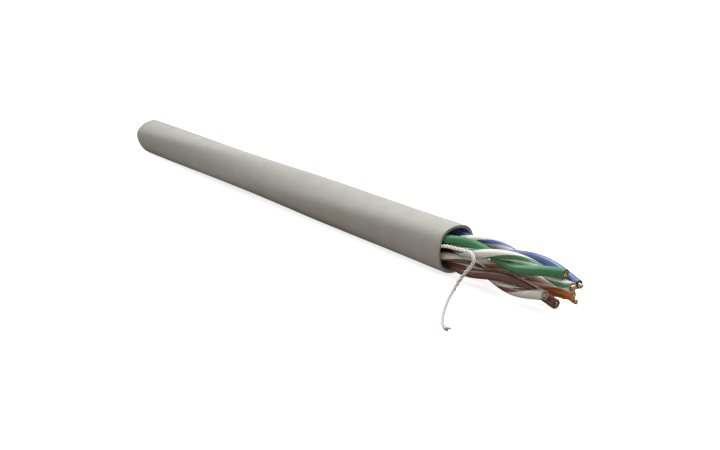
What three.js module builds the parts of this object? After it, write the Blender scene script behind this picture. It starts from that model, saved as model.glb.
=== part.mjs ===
// A cut sample of four-pair network cable, stripped at one end: a PVC jacket, four twisted pairs of insulated
// copper wires and a rip cord. Millimetres, +Z up. The cable lies along X on the plane z = 0 with its stripped
// end at +X, and the origin is under the middle of its length.
import * as THREE from "three";

// Jacket: a round tube, drawn as a polygon with a flat at the bottom, that it rests on.
const JACKET_LENGTH = 77;
const JACKET_DIAMETER = 5.4;
const JACKET_WALL = 0.38;
const JACKET_SIDES = 20;

// Wires: 24 AWG copper in polyethylene. Two wires wind round their pair's axis at WIRE_ORBIT.
const WIRE_DIAMETER = 0.9;
const BORE_DIAMETER = 0.56;
const COPPER_DIAMETER = 0.51;
const WIRE_ORBIT = 0.487;
const WIRE_SIDES = 8;
const COPPER_SIDES = 5;

// Pairs: each lies in its own quarter of the jacket, this far from the cable's axis.
const PAIR_ORBIT = 1.338;
const HIDDEN_STEPS_PER_TURN = 7.2;
const BARE_STEPS_PER_TURN = 10;

// Rip cord
const CORD_DIAMETER = 0.34;
const CORD_SIDES = 8;

// The longest wire end sets how far the object reaches past the jacket's mouth.
const LONGEST_BARE_END = 16.4;
const MOUTH_X = (JACKET_LENGTH - LONGEST_BARE_END) / 2;
const FAR_X = MOUTH_X - JACKET_LENGTH;
const AXIS_Z = JACKET_DIAMETER / 2;

// quarter: direction of the pair's axis from the cable's axis, in degrees from +Y towards +Z.
// lay: length of one full turn, left-handed. phase: the coloured wire's angle at the mouth, in degrees.
const PAIRS = [
  { name: "blue", color: 0x31508f, quarter: 45, lay: 12.2, phase: 7 },
  { name: "orange", color: 0xb8571f, quarter: -45, lay: 18.7, phase: 42 },
  { name: "green", color: 0x1f7a45, quarter: 135, lay: 13.2, phase: 134 },
  { name: "brown", color: 0x5c3226, quarter: 225, lay: 13.4, phase: 309 },
];

// How far past the mouth each wire's insulation and its copper end.
const BARE_ENDS = {
  blue: { insulation: 14.8, copper: 15.3 },
  white_blue: { insulation: 13.5, copper: 13.8 },
  orange: { insulation: 14.35, copper: 14.45 },
  white_orange: { insulation: 13, copper: 14.4 },
  green: { insulation: 15.05, copper: 15.15 },
  white_green: { insulation: 16.15, copper: LONGEST_BARE_END },
  brown: { insulation: 13.95, copper: 14.07 },
  white_brown: { insulation: 13.1, copper: 13.2 },
};

// spread: how far the pair's axis has moved by the tips in Y and Z, now that no jacket holds it.
// bow: how far it also bends out half-way to them.
const RELAXED = {
  blue: { spread: [0, -0.2], bow: [0.1, 0.22] },
  orange: { spread: [0.48, -0.4], bow: [0.08, 0.18] },
  green: { spread: [-0.23, 0.6], bow: [0.09, 0.02] },
  brown: { spread: [0.06, 0.13], bow: [-0.09, -0.08] },
};
const WHITE = 0xe9e6df;

const jacketFinish = new THREE.MeshStandardMaterial({ color: 0xbab8b0, roughness: 0.55 });
const copperFinish = new THREE.MeshStandardMaterial({ color: 0xc58b4a, roughness: 0.25, metalness: 1 });
const cordFinish = new THREE.MeshStandardMaterial({ color: 0xe6e1d8, roughness: 0.9 });

const radians = THREE.MathUtils.degToRad;

// A regular polygon as wide across its flats as the diameter, with a flat at the bottom.
function flatBottomed(diameter, sides, outline) {
  const corner = diameter / 2 / Math.cos(Math.PI / sides);
  const points = [];
  for (let i = 0; i < sides; i++) {
    const angle = ((i + 0.5) / sides) * 2 * Math.PI - Math.PI / 2;
    points.push(new THREE.Vector2(corner * Math.cos(angle), corner * Math.sin(angle)));
  }
  return outline.setFromPoints(points);
}

// A regular polygon inside a circle of the diameter.
function inscribed(diameter, sides, outline) {
  const points = [];
  for (let i = 0; i < sides; i++) {
    const angle = (i / sides) * 2 * Math.PI;
    points.push(new THREE.Vector2((diameter / 2) * Math.cos(angle), (diameter / 2) * Math.sin(angle)));
  }
  return outline.setFromPoints(points);
}

// A curve that an extrusion steps along at chosen stations, so that the steps can be short where it bends.
class SteppedCurve extends THREE.Curve {
  constructor(pointAt, stations) {
    super();
    this.pointAt = pointAt;
    this.stations = stations;
  }
  station(u) {
    return this.stations[Math.round(u * (this.stations.length - 1))];
  }
  getPointAt(u, target = new THREE.Vector3()) {
    return target.copy(this.pointAt(this.station(u)));
  }
  getTangentAt(u, target = new THREE.Vector3()) {
    const here = this.station(u);
    const nudge = 0.001;
    return target.subVectors(this.pointAt(here + nudge), this.pointAt(here - nudge)).normalize();
  }
}

function evenStations(from, to, step) {
  const count = Math.ceil((to - from) / step);
  return Array.from({ length: count }, (_, i) => from + ((to - from) * i) / count);
}

function swept(shape, pointAt, stations) {
  return new THREE.ExtrudeGeometry(shape, {
    steps: stations.length - 1,
    extrudePath: new SteppedCurve(pointAt, stations),
  });
}

const root = new THREE.Group();

function addPart(name, geometry, material) {
  const mesh = new THREE.Mesh(geometry, material);
  mesh.name = name;
  root.add(mesh);
  return mesh;
}

function addJacket() {
  const ring = flatBottomed(JACKET_DIAMETER, JACKET_SIDES, new THREE.Shape());
  ring.holes.push(flatBottomed(JACKET_DIAMETER - 2 * JACKET_WALL, JACKET_SIDES, new THREE.Path()));
  const tube = addPart(
    "jacket",
    new THREE.ExtrudeGeometry(ring, { depth: JACKET_LENGTH, bevelEnabled: false }),
    jacketFinish,
  );
  // The section's x becomes Y, its y becomes Z and its depth becomes X.
  const [x, y, z] = [[0, 1, 0], [0, 0, 1], [1, 0, 0]].map((axis) => new THREE.Vector3(...axis));
  tube.setRotationFromMatrix(new THREE.Matrix4().makeBasis(x, y, z));
  tube.position.set(FAR_X, 0, AXIS_Z);
}

// How far past the mouth a pair's axis has moved from its place in the jacket, in Y or Z.
function relaxed(spread, bow, pastMouth) {
  const way = Math.max(0, pastMouth) / LONGEST_BARE_END;
  return spread * way + bow * 4 * way * (1 - way);
}

// The centre line of one wire: a left-handed helix round its pair's axis. turn is 0 for the coloured wire and
// half a turn for the white one.
function wireLine(pair, turn) {
  const quarter = radians(pair.quarter);
  const { spread, bow } = RELAXED[pair.name];
  return (x) => {
    const pastMouth = x - MOUTH_X;
    const angle = radians(pair.phase + turn - (360 * pastMouth) / pair.lay);
    const y = PAIR_ORBIT * Math.cos(quarter) + relaxed(spread[0], bow[0], pastMouth);
    const z = PAIR_ORBIT * Math.sin(quarter) + relaxed(spread[1], bow[1], pastMouth);
    return new THREE.Vector3(x, y + WIRE_ORBIT * Math.cos(angle), AXIS_Z + z + WIRE_ORBIT * Math.sin(angle));
  };
}

function addWire(pair, colorName, turn, color) {
  const line = wireLine(pair, turn);
  const insulationEnd = MOUTH_X + BARE_ENDS[colorName].insulation;
  const copperEnd = MOUTH_X + BARE_ENDS[colorName].copper;
  const stations = [
    ...evenStations(FAR_X, MOUTH_X, pair.lay / HIDDEN_STEPS_PER_TURN),
    ...evenStations(MOUTH_X, insulationEnd, pair.lay / BARE_STEPS_PER_TURN),
    insulationEnd,
  ];
  const sleeve = inscribed(WIRE_DIAMETER, WIRE_SIDES, new THREE.Shape());
  sleeve.holes.push(inscribed(BORE_DIAMETER, COPPER_SIDES, new THREE.Path()));
  addPart(
    "insulation_" + colorName,
    swept(sleeve, line, stations),
    new THREE.MeshStandardMaterial({ color, roughness: 0.35 }),
  );
  addPart(
    "conductor_" + colorName,
    swept(inscribed(COPPER_DIAMETER, COPPER_SIDES, new THREE.Shape()), line, [...stations, copperEnd]),
    copperFinish,
  );
}

// The rip cord's route from the far end, through the jacket beside the pairs, out of the mouth, over the side of
// the green pair, down to the surface and along it: X from the mouth, Y, and Z from the surface.
const CORD_ROUTE = [
  [-76.9, -1.9, 2.7],
  [-60, -1.9, 2.7],
  [-40, -1.9, 2.7],
  [-20, -1.9, 2.7],
  [-6, -1.88, 2.75],
  [-2.6, -1.88, 2.95],
  [-0.9, -1.91, 3.28],
  [0.6, -1.99, 3.58],
  [2.1, -2.12, 3.78],
  [3.5, -2.28, 3.96],
  [4.6, -2.44, 4.06],
  [5.2, -2.57, 3.55],
  [4.95, -2.67, 2.8],
  [4.42, -2.76, 2.15],
  [4.0, -2.9, 1.5],
  [3.75, -3.2, 0.85],
  [3.9, -3.8, 0.38],
  [4.4, -4.7, 0.2],
  [5.1, -5.65, 0.18],
  [5.9, -6.65, 0.18],
  [6.7, -7.6, 0.18],
  [7.5, -8.5, 0.18],
  [8.3, -9.3, 0.18],
  [9.15, -10.02, 0.18],
  [9.7, -10.33, 0.18],
  [10.2, -10.52, 0.18],
];
const CORD_BARE_STEP = 0.85;
const CORD_HIDDEN_STEP = 9;

function addRipCord() {
  const points = CORD_ROUTE.map(([x, y, z]) => new THREE.Vector3(MOUTH_X + x, y, z));
  const route = new THREE.CatmullRomCurve3(points, false, "centripetal");
  const length = route.getLength();
  const hidden = JACKET_LENGTH - 6;
  const stations = [
    ...evenStations(0, hidden, CORD_HIDDEN_STEP),
    ...evenStations(hidden, length, CORD_BARE_STEP),
    length,
  ];
  const within = (distance) => THREE.MathUtils.clamp(distance / length, 0, 1);
  const section = inscribed(CORD_DIAMETER, CORD_SIDES, new THREE.Shape());
  addPart("rip_cord", swept(section, (distance) => route.getPointAt(within(distance)), stations), cordFinish);
}

addJacket();
for (const pair of PAIRS) {
  addWire(pair, pair.name, 0, pair.color);
  addWire(pair, "white_" + pair.name, 180, WHITE);
}
addRipCord();

export default root;
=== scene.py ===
import math
import random

import bpy
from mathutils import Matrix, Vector, noise


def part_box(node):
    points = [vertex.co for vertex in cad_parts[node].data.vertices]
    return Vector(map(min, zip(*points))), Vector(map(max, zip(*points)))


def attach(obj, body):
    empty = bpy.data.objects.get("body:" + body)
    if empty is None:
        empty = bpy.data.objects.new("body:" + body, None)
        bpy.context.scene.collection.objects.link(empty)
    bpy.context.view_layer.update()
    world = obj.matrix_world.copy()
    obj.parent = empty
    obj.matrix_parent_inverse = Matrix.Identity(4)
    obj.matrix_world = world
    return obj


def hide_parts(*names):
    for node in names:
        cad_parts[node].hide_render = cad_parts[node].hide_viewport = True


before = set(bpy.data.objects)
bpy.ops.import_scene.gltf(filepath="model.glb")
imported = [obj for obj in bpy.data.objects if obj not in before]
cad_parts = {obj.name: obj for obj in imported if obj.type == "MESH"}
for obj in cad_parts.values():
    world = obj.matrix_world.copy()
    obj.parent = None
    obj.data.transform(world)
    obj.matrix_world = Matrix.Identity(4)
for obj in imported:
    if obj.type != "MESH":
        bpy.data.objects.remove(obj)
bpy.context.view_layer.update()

MM = 0.001

# ---------------------------------------------------------------- sizes
FAR_CORNER, MOUTH_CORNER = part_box("jacket")
FAR_X = FAR_CORNER.x
MOUTH_X = MOUTH_CORNER.x
JACKET_RADIUS = (MOUTH_CORNER.z - FAR_CORNER.z) / 2
AXIS_Z = FAR_CORNER.z + JACKET_RADIUS
JACKET_WALL = 0.38 * MM

WIRE_RADIUS = 0.475 * MM
WIRE_ORBIT = 0.478 * MM
BORE_RADIUS = 0.27 * MM
COPPER_RADIUS = 0.255 * MM
PAIR_ORBIT = 1.338 * MM
LONGEST_BARE_END = 16.4 * MM

# quarter: direction of the pair's axis from the cable's axis, in degrees. lay: length of one full turn, in mm.
# phase: the coloured wire's angle at the mouth, in degrees.
# bare, white_bare: how far past the mouth the wire's insulation and its copper end, in mm.
# facing: where the wire's stripes look, in degrees round it from straight away from the pair's axis.
# spread, bow: how far the pair's axis has moved in Y and Z by its tips, and bends out half-way, in mm.
PAIRS = {
    "blue": {"quarter": 45, "lay": 12.2, "phase": 7, "bare": (14.8, 15.3), "white_bare": (13.5, 13.8),
             "facing": 81, "spread": (0, -0.2), "bow": (0.1, 0.22)},
    "orange": {"quarter": -45, "lay": 18.7, "phase": 42, "bare": (14.35, 14.45), "white_bare": (13.0, 14.4),
               "facing": 52, "spread": (0.48, -0.4), "bow": (0.08, 0.18)},
    "green": {"quarter": 135, "lay": 13.2, "phase": 134, "bare": (15.05, 15.15), "white_bare": (16.15, 16.4),
              "facing": 91, "spread": (-0.23, 0.6), "bow": (0.09, 0.02)},
    "brown": {"quarter": 225, "lay": 13.4, "phase": 309, "bare": (13.95, 14.07), "white_bare": (13.1, 13.2),
              "facing": 99, "spread": (0.06, 0.13), "bow": (-0.09, -0.08)},
}

# How far the snips' cut across a wire leans from square towards -Y, in degrees, where it isn't square.
SLANTS = {"green": 10, "white_brown": 14}

# The rip cord's route: X from the mouth, Y, and Z from the surface, in mm. It follows the CAD to 0.1 mm.
CORD_ROUTE = [
    (-76.9, -1.9, 2.7),
    (-60, -1.9, 2.7),
    (-40, -1.9, 2.7),
    (-20, -1.9, 2.7),
    (-6, -1.88, 2.75),
    (-2.6, -1.88, 2.88),
    (-0.9, -1.93, 3.18),
    (0.1, -1.97, 3.46),
    (0.9, -2.06, 3.65),
    (2.1, -2.15, 3.79),
    (3.5, -2.29, 3.97),
    (4.6, -2.44, 4.06),
    (5.2, -2.57, 3.55),
    (4.95, -2.67, 2.8),
    (4.42, -2.76, 2.15),
    (4.0, -2.9, 1.5),
    (3.75, -3.2, 0.85),
    (3.9, -3.8, 0.38),
    (4.4, -4.7, 0.2),
    (5.1, -5.65, 0.18),
    (5.9, -6.65, 0.18),
    (6.7, -7.6, 0.18),
    (7.5, -8.5, 0.18),
    (8.3, -9.3, 0.18),
    (9.15, -10.02, 0.18),
    (9.7, -10.33, 0.18),
    (10.2, -10.52, 0.18),
]


# ---------------------------------------------------------------- camera
# CAMERA_PLACE: X from the mouth, Y and Z, in mm. The angles are in degrees. FOCAL_PIXELS: the focal length, in
# widths of a pixel of an image IMAGE_WIDTH wide.
CAMERA_PLACE = (58.95, -56.46, 30.11)
CAMERA_AZIMUTH = 53.2
CAMERA_ELEVATION = 17.025
FOCAL_PIXELS = 830
IMAGE_WIDTH = 720
SENSOR_WIDTH = 36


def add_camera():
    x, y, z = CAMERA_PLACE
    data = bpy.data.cameras.new("camera")
    data.sensor_width = SENSOR_WIDTH
    data.lens = SENSOR_WIDTH * FOCAL_PIXELS / IMAGE_WIDTH
    data.clip_start = 1 * MM
    data.clip_end = 20
    camera = bpy.data.objects.new("camera", data)
    camera.location = (MOUTH_X + x * MM, y * MM, z * MM)
    camera.rotation_euler = (math.pi / 2 - math.radians(CAMERA_ELEVATION), 0, math.radians(CAMERA_AZIMUTH))
    bpy.context.scene.collection.objects.link(camera)
    bpy.context.scene.camera = camera


# ---------------------------------------------------------------- mesh helpers
def smoothstep(x, low, high):
    """0 up to low, 1 from high, and smooth between them."""
    t = min(1, max(0, (x - low) / (high - low)))
    return t * t * (3 - 2 * t)


def rings_mesh(name, rings, material, closed=False, around=None):
    """A mesh of rings of points joined one to the next. closed joins the last ring to the first, as a pipe's
    bore joins its outside; otherwise both ends are capped. around is kept on each point as the attribute
    section."""
    count = len(rings[0])
    points = [p for ring in rings for p in ring]
    faces = []
    last = len(rings) if closed else len(rings) - 1
    for i in range(last):
        a, b = i * count, ((i + 1) % len(rings)) * count
        for j in range(count):
            k = (j + 1) % count
            faces.append((a + j, a + k, b + k, b + j))
    if not closed:
        faces.append(tuple(reversed(range(count))))
        faces.append(tuple(range(len(points) - count, len(points))))
    mesh = bpy.data.meshes.new(name)
    mesh.from_pydata(points, [], faces)
    mesh.validate()
    mesh.materials.append(material)
    if around is not None:
        layer = mesh.attributes.new("section", "FLOAT_VECTOR", "POINT")
        layer.data.foreach_set("vector", [v for item in around for v in item])
    mesh.shade_smooth()
    obj = bpy.data.objects.new(name, mesh)
    bpy.context.scene.collection.objects.link(obj)
    return obj


def sharpen(obj, degrees):
    obj.data.set_sharp_from_angle(angle=math.radians(degrees))


def ring(centre, side, up, radius, count, stretch=None):
    """count points round centre. stretch gives what multiplies the radius at each angle from side."""
    out = []
    for j in range(count):
        a = 2 * math.pi * j / count
        r = radius * (stretch(a) if stretch else 1)
        out.append(centre + side * (r * math.cos(a)) + up * (r * math.sin(a)))
    return out


def spread(start, stop, step):
    """Even places from start up to stop, which is left out, no more than step apart."""
    count = max(1, math.ceil((stop - start) / step))
    return [start + (stop - start) * i / count for i in range(count)]


# ---------------------------------------------------------------- materials
class Nodes:
    """A material's node tree, with short ways to add and join nodes."""

    def __init__(self, name):
        self.material = bpy.data.materials.new(name)
        self.material.use_nodes = True
        self.tree = self.material.node_tree
        self.shader = self.tree.nodes["Principled BSDF"]

    def add(self, kind, inputs=(), **settings):
        node = self.tree.nodes.new(kind)
        for key, value in settings.items():
            setattr(node, key, value)
        for key, value in dict(inputs).items():
            self.put(node.inputs[key], value)
        return node

    def put(self, socket, value):
        if isinstance(value, bpy.types.NodeSocket):
            self.tree.links.new(value, socket)
        else:
            socket.default_value = value

    def set(self, **inputs):
        for key, value in inputs.items():
            self.put(self.shader.inputs[key.replace("_", " ")], value)

    def place(self, stretch=(1, 1, 1)):
        spot = self.add("ShaderNodeTexCoord").outputs["Object"]
        return self.add("ShaderNodeMapping", {"Vector": spot, "Scale": stretch}).outputs["Vector"]

    def noise(self, size, detail=2.0, stretch=(1, 1, 1), roughness=0.5):
        """Noise whose lumps are about size across, from 0 to 1."""
        node = self.add(
            "ShaderNodeTexNoise",
            {"Vector": self.place(stretch), "Scale": 1 / size, "Detail": detail, "Roughness": roughness},
        )
        return node.outputs["Fac"]

    def span(self, value, low, high, from_low=0.3, from_high=0.7):
        """value between from_low and from_high, mapped to low and high."""
        node = self.add(
            "ShaderNodeMapRange",
            {"Value": value, "From Min": from_low, "From Max": from_high, "To Min": low, "To Max": high},
        )
        return node.outputs["Result"]

    def mix(self, factor, a, b):
        node = self.add("ShaderNodeMix", {"Factor": factor}, data_type="RGBA")
        self.put(node.inputs["A"], a)
        self.put(node.inputs["B"], b)
        return node.outputs["Result"]

    def math(self, operation, a, b=0.0):
        node = self.add("ShaderNodeMath", operation=operation)
        for socket, value in zip(node.inputs, (a, b)):
            self.put(socket, value)
        return node.outputs["Value"]

    def bump(self, height, distance, strength=1.0, normal=None):
        node = self.add("ShaderNodeBump", {"Height": height, "Distance": distance, "Strength": strength})
        if normal:
            self.put(node.inputs["Normal"], normal)
        return node.outputs["Normal"]


def rgb(r, g, b):
    """A linear colour with its alpha."""
    return (r, g, b, 1)


def section(n):
    """The three numbers that a mesh's points keep in the attribute section. X: the place round a wire, or how
    far out of the grooves a thread's point stands. Y: how much painted shade greys the thread near its cut
    end.
    Z: how much painted shade darkens a cut face, 1 on a wire's cut end."""
    kept = n.add("ShaderNodeAttribute", attribute_name="section").outputs["Vector"]
    return n.add("ShaderNodeSeparateXYZ", {"Vector": kept}).outputs


def jacket_material():
    """Matt grey PVC: mottled, fine-grained, and drawn out along its length, with painted shade darkening its
    cut face at the mouth towards the top.
    """
    n = Nodes("jacket_pvc")
    mottle = n.noise(1.6 * MM, 3)
    drawn = n.noise(0.5 * MM, 2, stretch=(0.03, 1, 1))
    grain = n.noise(0.16 * MM, 4, roughness=0.65)
    shade = n.mix(n.span(mottle, 0, 1), rgb(0.405, 0.395, 0.362), rgb(0.45, 0.44, 0.41))
    skin = n.mix(n.span(grain, 0, 0.35), shade, rgb(0.34, 0.325, 0.29))
    n.set(
        # Painted shade: the colour turns dark grey on the cut face at the mouth, most towards its top.
        Base_Color=n.mix(section(n)["Z"], skin, rgb(0.23, 0.215, 0.185)),
        Roughness=n.span(drawn, 0.42, 0.6),
        Specular_IOR_Level=0.15,
        Subsurface_Weight=0.12,
        Subsurface_Radius=(0.4 * MM, 0.32 * MM, 0.25 * MM),
        Normal=n.bump(grain, 0.035 * MM, 0.8, n.bump(drawn, 0.02 * MM, 0.3)),
    )
    n.shader.inputs["Subsurface Scale"].default_value = 1
    return n.material


def plastic(n, color, cut_end_painted_shade):
    """Polyethylene: a soft gloss over a slightly uneven extruded skin, and painted shade darkening its cut
    end.
    """
    drawn = n.noise(0.6 * MM, 1, stretch=(0.2, 1, 1))
    n.set(
        Base_Color=n.mix(section(n)["Z"], color, cut_end_painted_shade),
        Roughness=n.span(drawn, 0.21, 0.28),
        Specular_IOR_Level=0.95,
        Subsurface_Weight=0.15,
        Subsurface_Radius=(0.3 * MM, 0.3 * MM, 0.3 * MM),
        Normal=n.bump(drawn, 0.01 * MM, 0.3),
    )
    n.shader.inputs["Subsurface Scale"].default_value = 1
    return n.material


# The darkest and lightest of each wire's colour.
COLORS = {
    "blue": (rgb(0.060, 0.112, 0.30), rgb(0.078, 0.14, 0.36)),
    "orange": (rgb(0.55, 0.135, 0.013), rgb(0.62, 0.165, 0.02)),
    "green": (rgb(0.010, 0.158, 0.040), rgb(0.015, 0.185, 0.052)),
    "brown": (rgb(0.122, 0.032, 0.016), rgb(0.145, 0.040, 0.022)),
}
# Painted shade on each colour's cut end: the factor that its darkest colour is multiplied by.
CUT_END_PAINTED_SHADE = {"blue": 0.3, "orange": 0.95, "green": 0.25, "brown": 0.4}
WHITES = (rgb(0.68, 0.65, 0.59), rgb(0.78, 0.755, 0.70))
# Painted shade on the white wires' cut ends.
WHITE_CUT_END_PAINTED_SHADE = rgb(0.33, 0.29, 0.24)


def solid_color(n, name):
    low, high = COLORS[name]
    return n.mix(n.span(n.noise(1.3 * MM, 1), 0, 1), low, high)


def solid_material(name):
    n = Nodes("insulation_" + name)
    # Painted shade: the cut end is a darker copy of the wire's darkest colour.
    cut = [CUT_END_PAINTED_SHADE[name] * part for part in COLORS[name][0][:3]]
    return plastic(n, solid_color(n, name), rgb(*cut))


def striped_material(name):
    """Off-white with a coloured stripe on two opposite sides, where the point's place round the wire is near 1
    or -1."""
    n = Nodes("insulation_white_" + name)
    wander = n.span(n.noise(0.7 * MM, 3), -0.02, 0.02)
    edge = n.math("ADD", n.math("ABSOLUTE", section(n)["X"]), wander)
    stripe = n.add(
        "ShaderNodeMapRange",
        {"Value": edge, "From Min": 0.85, "From Max": 0.905},
        interpolation_type="SMOOTHSTEP",
    ).outputs["Result"]
    low, high = WHITES
    white = n.mix(n.span(n.noise(1.1 * MM, 3), 0, 1), low, high)
    return plastic(n, n.mix(stripe, white, solid_color(n, name)), WHITE_CUT_END_PAINTED_SHADE)


def copper_material():
    """Bright drawn copper, scored by the cutter, with near-black patches painted into its colour as painted
    dark reflections.
    """
    n = Nodes("copper")
    cut = n.noise(0.12 * MM, 3)
    drawn = n.noise(0.04 * MM, 2, stretch=(0.05, 1, 1))
    n.set(
        # Painted reflection: random near-black patches in the copper's colour stand in for the dark
        # reflections on its ends.
        Base_Color=n.mix(n.span(cut, 0, 1, 0.42, 0.56), rgb(0.12, 0.072, 0.022), rgb(0.92, 0.71, 0.34)),
        Metallic=1.0,
        Roughness=n.span(drawn, 0.14, 0.3),
        Normal=n.bump(cut, 0.06 * MM, 0.85),
    )
    return n.material


def thread_material():
    """Fluffy white fibre, with painted shade in the grooves between the plies and painted shade greying it
    towards the cut end.
    """
    n = Nodes("rip_cord_thread")
    fibre = n.noise(0.03 * MM, 3)
    patch = n.noise(0.4 * MM, 2)
    lit = n.mix(n.span(patch, 0, 1), rgb(0.89, 0.85, 0.79), rgb(0.95, 0.92, 0.87))
    kept = section(n)
    # Painted shade: the grooves between the plies take a darker copy of the fibre's colour, and the last
    # stretch a greyer, darker pair.
    proud = n.span(kept["X"], 0, 1, 0.55, 0.9)
    main_stretch = n.mix(proud, rgb(0.60, 0.54, 0.47), lit)
    end_painted_shade = n.mix(proud, rgb(0.36, 0.34, 0.315), rgb(0.66, 0.64, 0.615))
    n.set(
        Base_Color=n.mix(kept["Y"], main_stretch, end_painted_shade),
        Roughness=0.85,
        Sheen_Weight=0.3,
        Sheen_Roughness=0.5,
        Normal=n.bump(fibre, 0.012 * MM, 0.8),
    )
    return n.material


# ---------------------------------------------------------------- rip cord
def smooth_route(points, step):
    """Points about step apart on a centripetal Catmull-Rom curve through the given ones."""
    ends = [2 * points[0] - points[1]] + points + [2 * points[-1] - points[-2]]
    out = []
    for p0, p1, p2, p3 in zip(ends, ends[1:], ends[2:], ends[3:]):
        t0 = 0.0
        t1 = t0 + (p1 - p0).length ** 0.5
        t2 = t1 + (p2 - p1).length ** 0.5
        t3 = t2 + (p3 - p2).length ** 0.5
        count = max(1, round((p2 - p1).length / step))
        for i in range(count):
            t = t1 + (t2 - t1) * i / count
            a1 = p0.lerp(p1, (t - t0) / (t1 - t0))
            a2 = p1.lerp(p2, (t - t1) / (t2 - t1))
            a3 = p2.lerp(p3, (t - t2) / (t3 - t2))
            b1 = a1.lerp(a2, (t - t0) / (t2 - t0))
            b2 = a2.lerp(a3, (t - t1) / (t3 - t1))
            out.append(b1.lerp(b2, (t - t1) / (t2 - t1)))
    return out + [points[-1]]


def frames_along(path):
    """(point, side, up) at each point of a path, turned as little as possible from one to the next."""
    side = Vector((0, 0, 1))
    out = []
    for i, point in enumerate(path):
        ahead = (path[min(i + 1, len(path) - 1)] - path[max(i - 1, 0)]).normalized()
        side = (side - ahead * side.dot(ahead)).normalized()
        out.append((point, side, ahead.cross(side)))
    return out


PLIES = 3
PLY_ORBIT = 0.098 * MM
PLY_RADIUS = 0.086 * MM
PLY_SIDES = 8
PLY_LAY = 1.9 * MM
ROUTE_STEP = 0.09 * MM

# Painted shade greys the thread's last stretch.
PAINTED_SHADE_END_LENGTH = 13 * MM

HAIRS = 40
HAIR_RADIUS = 0.027 * MM
HAIR_TAPER = 0.4
HAIR_STEPS = 6
HAIR_SIDES = 5
# The fray's hairs stand mostly out of the grooves and take the full painted shade of the thread's end.
HAIR_SECTION = (0.8, 1, 0)


def add_rip_cord(material):
    route = [Vector((MOUTH_X + x * MM, y * MM, z * MM)) for x, y, z in CORD_ROUTE]
    path = smooth_route(route, ROUTE_STEP)
    axis = frames_along(path)
    travelled = [0.0]
    for (here, _, _), (following, _, _) in zip(axis, axis[1:]):
        travelled.append(travelled[-1] + (following - here).length)
    # How much painted shade greys each point, rising towards the cut end.
    end_painted_shade = [smoothstep(way - travelled[-1], -PAINTED_SHADE_END_LENGTH, -0.6 * PAINTED_SHADE_END_LENGTH) for way in travelled]
    meshes = []
    for ply in range(PLIES):
        line = []
        for way, (point, side, up) in zip(travelled, axis):
            turn = 2 * math.pi * (way / PLY_LAY + ply / PLIES)
            line.append(point + side * (PLY_ORBIT * math.cos(turn)) + up * (PLY_ORBIT * math.sin(turn)))
        rings = [ring(p, side, up, PLY_RADIUS, PLY_SIDES) for p, side, up in frames_along(line)]
        # Each point keeps how far out of the grooves it stands, which sets the painted groove shade, and how
        # much painted end shade it takes.
        grooves = [
            ((p - centre).length / (PLY_ORBIT + PLY_RADIUS), end_shade, 0)
            for around, (centre, _, _), end_shade in zip(rings, axis, end_painted_shade)
            for p in around
        ]
        meshes.append(rings_mesh(f"rip_cord_ply_{ply}", rings, material, around=grooves))
    cord = join("rip_cord_thread", meshes)
    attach(cord, "rip_cord")
    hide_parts("rip_cord")
    fray = add_fray(axis[-1][0], (path[-1] - path[-4]).normalized(), material)


def join(name, objects):
    with bpy.context.temp_override(active_object=objects[0], selected_editable_objects=objects):
        bpy.ops.object.join()
    objects[0].name = name
    objects[0].data.name = name
    return objects[0]


def add_fray(tip, ahead, material):
    """The cut end's loose filaments, which splay and curl up a little from the surface."""
    draw = random.Random(7)
    hairs = []
    for k in range(HAIRS):
        spin = draw.uniform(0, 2 * math.pi)
        out = Vector((math.cos(spin), math.sin(spin), 0.9 * draw.uniform(0, 1)))
        out = (out - ahead * out.dot(ahead)).normalized()
        length = draw.uniform(0.25, 0.5) * MM
        open_angle = draw.uniform(0.3, 1.3)
        start = tip - ahead * (0.22 * MM) + out * (0.1 * MM)
        line = []
        for i in range(HAIR_STEPS + 1):
            t = i / HAIR_STEPS
            p = start + ahead * (length * t) + out * (length * open_angle * t * t)
            p.z = max(p.z, 0.03 * MM)
            line.append(p)
        rings = []
        for i, (p, side, up) in enumerate(frames_along(line)):
            radius = HAIR_RADIUS * (1 - HAIR_TAPER * i / HAIR_STEPS)
            rings.append(ring(p, side, up, radius, HAIR_SIDES))
        kept = [HAIR_SECTION] * (len(rings) * HAIR_SIDES)
        hairs.append(rings_mesh(f"hair_{k}", rings, material, around=kept))
    fray = join("rip_cord_fray", hairs)
    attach(fray, "rip_cord")
    return fray


# ---------------------------------------------------------------- jacket
def jacket_swell(x, angle):
    """What multiplies the jacket's radius. The jacket has drawn down over its four pairs, so its section is
    slightly square and turns with them. It is a little thinner towards the mouth, and opens there."""
    behind = (MOUTH_X - x) / MM
    turned = math.radians(45 + 1.5 * behind)
    girth = 0.957 + 0.042 * smoothstep(behind, 10, 28) + 0.02 * smoothstep(behind, 45, 75)
    girth += 0.018 * smoothstep(-behind, -6, 0)
    corners = 0.033 * math.cos(4 * (angle - turned)) + 0.004 * math.cos(8 * (angle - turned))
    uneven = 0.004 * noise.noise(Vector((behind / 6, math.cos(angle), math.sin(angle))))
    opened = 0.012 * math.cos(angle) * smoothstep(-behind, -6, 0)
    return girth + corners + uneven + opened


def quarter_turn(steps):
    """(sine, 1 - cosine) over a quarter turn, for rounding an edge."""
    return [
        (math.sin(math.pi / 2 * k / steps), 1 - math.cos(math.pi / 2 * k / steps))
        for k in range(steps + 1)
    ]


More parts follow.
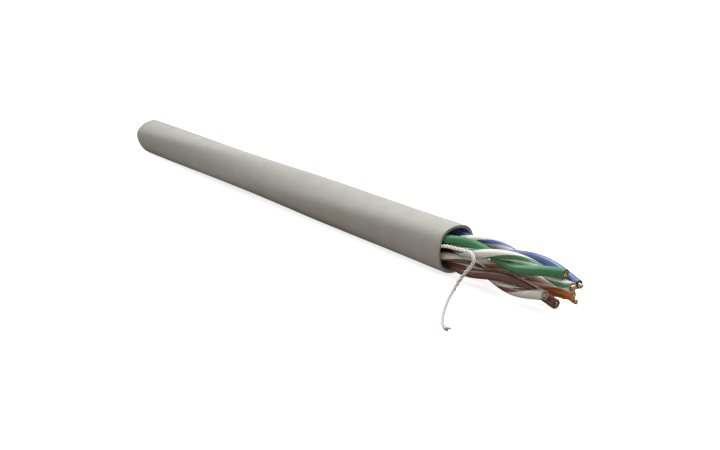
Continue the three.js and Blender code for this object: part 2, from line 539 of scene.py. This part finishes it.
def add_jacket(material):
    sides = 96
    outer, inner = JACKET_RADIUS, JACKET_RADIUS - JACKET_WALL
    far_reach, far_drop, mouth_edge, lip = 0.4 * MM, 0.1 * MM, 0.06 * MM, 0.08 * MM
    marks, first_mark, mark_pitch, mark_width = 6, 0.27 * MM, 0.26 * MM, 0.06 * MM
    across, up = Vector((0, 1, 0)), Vector((0, 0, 1))
    rings = []
    faces = []

    def loop(x, radius, cut=0):
        points = ring(Vector((x, 0, AXIS_Z)), across, up, radius, sides, lambda a: jacket_swell(x, a))
        for j, point in enumerate(points):
            point.z = max(point.z, 0)
            a = 2 * math.pi * j / sides
            # Painted shade: how much darker the cut face is painted at this point, most towards the top.
            faces.append((0, 0, cut * smoothstep(math.sin(a), 0.3, 0.9)))
        rings.append(points)

    # The skin from the worn far end, over the stripping tool's ring marks, to the mouth.
    for along, drop in reversed(quarter_turn(4)):
        loop(FAR_X + far_reach * (1 - along), outer - far_drop * drop)
    for x in spread(FAR_X + 1 * MM, MOUTH_X - 1.9 * MM, 1.1 * MM):
        loop(x, outer)
    for k in reversed(range(marks)):
        mark = MOUTH_X - first_mark - mark_pitch * k
        depth = (0.03 - 0.004 * k) * MM
        for along, share in ((-mark_width, 0), (0, 1), (mark_width, 0)):
            loop(mark + along, outer - depth * share)
    for along, drop in quarter_turn(4):
        loop(MOUTH_X - mouth_edge * (1 - along), outer - mouth_edge * drop)
    # The cut face and its inner lip, then the bore back to the far end. Painted shade darkens the cut face and
    # lip towards the top.
    loop(MOUTH_X, outer - mouth_edge * 1.2, 1)
    for along, drop in reversed(quarter_turn(3)):
        loop(MOUTH_X - lip * (1 - along), inner + lip * drop, 1)
    for x in reversed(spread(FAR_X, MOUTH_X - 0.4 * MM, 2.5 * MM)):
        loop(x, inner)
    jacket = rings_mesh("jacket_tube", rings, material, closed=True, around=faces)
    sharpen(jacket, 50)
    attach(jacket, "jacket")
    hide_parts("jacket")


# ---------------------------------------------------------------- wires
def wire_point(pair, x, turn):
    """The wire's centre at x, and its direction from its pair's axis in degrees."""
    past = x - MOUTH_X
    way = max(0, past) / LONGEST_BARE_END
    quarter = math.radians(pair["quarter"])
    degrees = pair["phase"] + turn - 360 * past / (pair["lay"] * MM)
    angle = math.radians(degrees)
    moved = [(fan * way + bend * 4 * way * (1 - way)) * MM for fan, bend in zip(pair["spread"], pair["bow"])]
    y = PAIR_ORBIT * math.cos(quarter) + moved[0] + WIRE_ORBIT * math.cos(angle)
    z = PAIR_ORBIT * math.sin(quarter) + moved[1] + WIRE_ORBIT * math.sin(angle)
    return Vector((x, y, AXIS_Z + z)), degrees


def wire_frame(pair, x, turn):
    """Centre, side and up of the wire's section at x, and the way ahead. side points to its stripe."""
    nudge = 0.02 * MM
    centre, degrees = wire_point(pair, x, turn)
    ahead = (wire_point(pair, x + nudge, turn)[0] - wire_point(pair, x - nudge, turn)[0]).normalized()
    a = math.radians(degrees + pair["facing"])
    side = Vector((0, math.cos(a), math.sin(a)))
    side = (side - ahead * side.dot(ahead)).normalized()
    return centre, side, ahead.cross(side), ahead


def wire_stations(end):
    """Places along a wire, closer together from just inside the mouth."""
    inside = MOUTH_X - 1 * MM
    return spread(FAR_X, inside, 0.8 * MM) + spread(inside, end, 0.33 * MM)


def slanted(points, centre, ahead, shift, node):
    """A ring's points near a wire's end, moved along the wire so that it is cut at the node's slant."""
    slope = math.tan(math.radians(SLANTS.get(node.split("_", 1)[1], 0)))
    return [p + ahead * (shift + slope * (p.y - centre.y)) for p in points]


def add_insulation(name, node, turn, end, material):
    """A sleeve with a rounded edge and a flat cut face at its bare end, open along its bore."""
    pair = PAIRS[name]
    sides = 24
    edge = 0.045 * MM
    bevel = 0.02 * MM
    stations = wire_stations(end - edge)
    rings = []

    def loop(x, radius, shift=None):
        centre, side, up, ahead = wire_frame(pair, x, turn)

        def uneven(a):
            return 1 + 0.006 * noise.noise(Vector((x / (1.5 * MM), math.cos(a) + turn, math.sin(a))))

        points = ring(centre, side, up, radius, sides, uneven)
        if shift is not None:
            points = slanted(points, centre, ahead, shift, node)
        rings.append(points)

    for x in stations:
        loop(x, WIRE_RADIUS)
    for along, drop in quarter_turn(3)[:3]:
        loop(end - edge, WIRE_RADIUS - edge * drop, edge * along)
    skin = len(rings)
    loop(end - edge, WIRE_RADIUS - edge, edge)
    loop(end - edge, BORE_RADIUS + bevel, edge)
    loop(end - edge, BORE_RADIUS, edge - bevel)
    for x in reversed(stations):
        loop(x, BORE_RADIUS)
    around = []
    for i in range(len(rings)):
        for j in range(sides):
            a = 2 * math.pi * j / sides
            around.append((math.cos(a), math.sin(a), 1 if i >= skin else 0))
    wire = rings_mesh(node + "_sleeve", rings, material, closed=True, around=around)
    sharpen(wire, 50)
    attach(wire, name + "_pair")
    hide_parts(node)


def add_conductor(name, node, turn, end, material):
    """Copper nipped off by a cutter, which leaves a blunt ridge across the end."""
    pair = PAIRS[name]
    sides = 20
    nip = 0.17 * MM
    stations = wire_stations(end - nip)
    tilt = math.radians(20 + 53 * len(node))  # each end is nipped at another angle
    rings = []

    def loop(x, flat=1.0, shift=None):
        centre, side, up, ahead = wire_frame(pair, x, turn)
        across = math.atan2(up.y, side.y) + tilt

        def squeezed(a):
            return 1 / math.hypot(math.cos(a - across), math.sin(a - across) / flat)

        points = ring(centre, side, up, COPPER_RADIUS, sides, squeezed)
        if shift is not None:
            points = slanted(points, centre, ahead, shift, node)
        rings.append(points)

    for x in stations:
        loop(x)
    for way in (0, 0.2, 0.45, 0.7, 0.88, 1):
        loop(end - nip, 1 - 0.8 * way ** 1.5, nip * way)
    wire = rings_mesh(node + "_wire", rings, material)
    sharpen(wire, 50)
    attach(wire, name + "_pair")
    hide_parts(node)


def add_pairs():
    copper = copper_material()
    for name, pair in PAIRS.items():
        wires = [
            (name, 0, pair["bare"], solid_material(name)),
            ("white_" + name, 180, pair["white_bare"], striped_material(name)),
        ]
        for wire, turn, (skin_end, copper_end), skin in wires:
            add_insulation(name, "insulation_" + wire, turn, MOUTH_X + skin_end * MM, skin)
            add_conductor(name, "conductor_" + wire, turn, MOUTH_X + copper_end * MM, copper)


# ---------------------------------------------------------------- stage
def add_floor():
    """A white table that throws only part of its light back up, as one does under a small close softbox."""
    reach = 4.0
    mesh = bpy.data.meshes.new("floor")
    corners = [(-reach, -reach, 0), (reach, -reach, 0), (reach, reach, 0), (-reach, reach, 0)]
    mesh.from_pydata(corners, [], [(0, 1, 2, 3)])
    n = Nodes("floor_paper")
    seen = n.add("ShaderNodeLightPath").outputs["Is Camera Ray"]
    n.set(Base_Color=n.mix(seen, rgb(0.345, 0.32, 0.285), rgb(0.95, 0.95, 0.95)), Roughness=0.9)
    n.set(Emission_Color=rgb(1, 1, 1), Emission_Strength=n.math("MULTIPLY", seen, 0.74))
    mesh.materials.append(n.material)
    floor = bpy.data.objects.new("floor", mesh)
    bpy.context.scene.collection.objects.link(floor)


def add_sun(name, direction, strength, degrees):
    """A broad even light from a direction, as wide as degrees."""
    data = bpy.data.lights.new(name, "SUN")
    data.energy = strength
    data.angle = math.radians(degrees)
    light = bpy.data.objects.new(name, data)
    light.rotation_euler = Vector(direction).to_track_quat("Z", "Y").to_euler()
    bpy.context.scene.collection.objects.link(light)


def add_softbox(name, direction, distance, width, watts):
    """A round softbox near the jacket's mouth, facing it."""
    data = bpy.data.lights.new(name, "AREA")
    data.shape = "DISK"
    data.size = width
    data.energy = watts
    light = bpy.data.objects.new(name, data)
    towards = Vector(direction).normalized()
    light.location = Vector((MOUTH_X, 0, 0)) + towards * distance
    light.rotation_euler = towards.to_track_quat("Z", "Y").to_euler()
    light.visible_camera = False
    bpy.context.scene.collection.objects.link(light)


def add_lights():
    """A white room, with a small softbox over the mouth and wide ones to the left and behind."""
    world = bpy.data.worlds.new("studio")
    world.use_nodes = True
    background = world.node_tree.nodes["Background"]
    background.inputs["Color"].default_value = (1, 1, 1, 1)
    seen = world.node_tree.nodes.new("ShaderNodeLightPath").outputs["Is Camera Ray"]
    strength = world.node_tree.nodes.new("ShaderNodeMapRange")
    strength.inputs["To Min"].default_value = 0.49
    strength.inputs["To Max"].default_value = 0.9
    world.node_tree.links.new(seen, strength.inputs["Value"])
    world.node_tree.links.new(strength.outputs["Result"], background.inputs["Strength"])
    bpy.context.scene.world = world
    bpy.context.scene.view_settings.view_transform = "Standard"
    add_softbox("overhead_softbox", (0.08, 0.27, 0.95), 0.187, 0.18, 0.35)
    add_sun("left_softbox", (-0.77, -0.12, 0.63), 0.7, 50)
    add_sun("back_softbox", (-0.77, 0.57, 0.34), 0.35, 50)


add_camera()
add_rip_cord(thread_material())
add_jacket(jacket_material())
add_pairs()
add_floor()
add_lights()
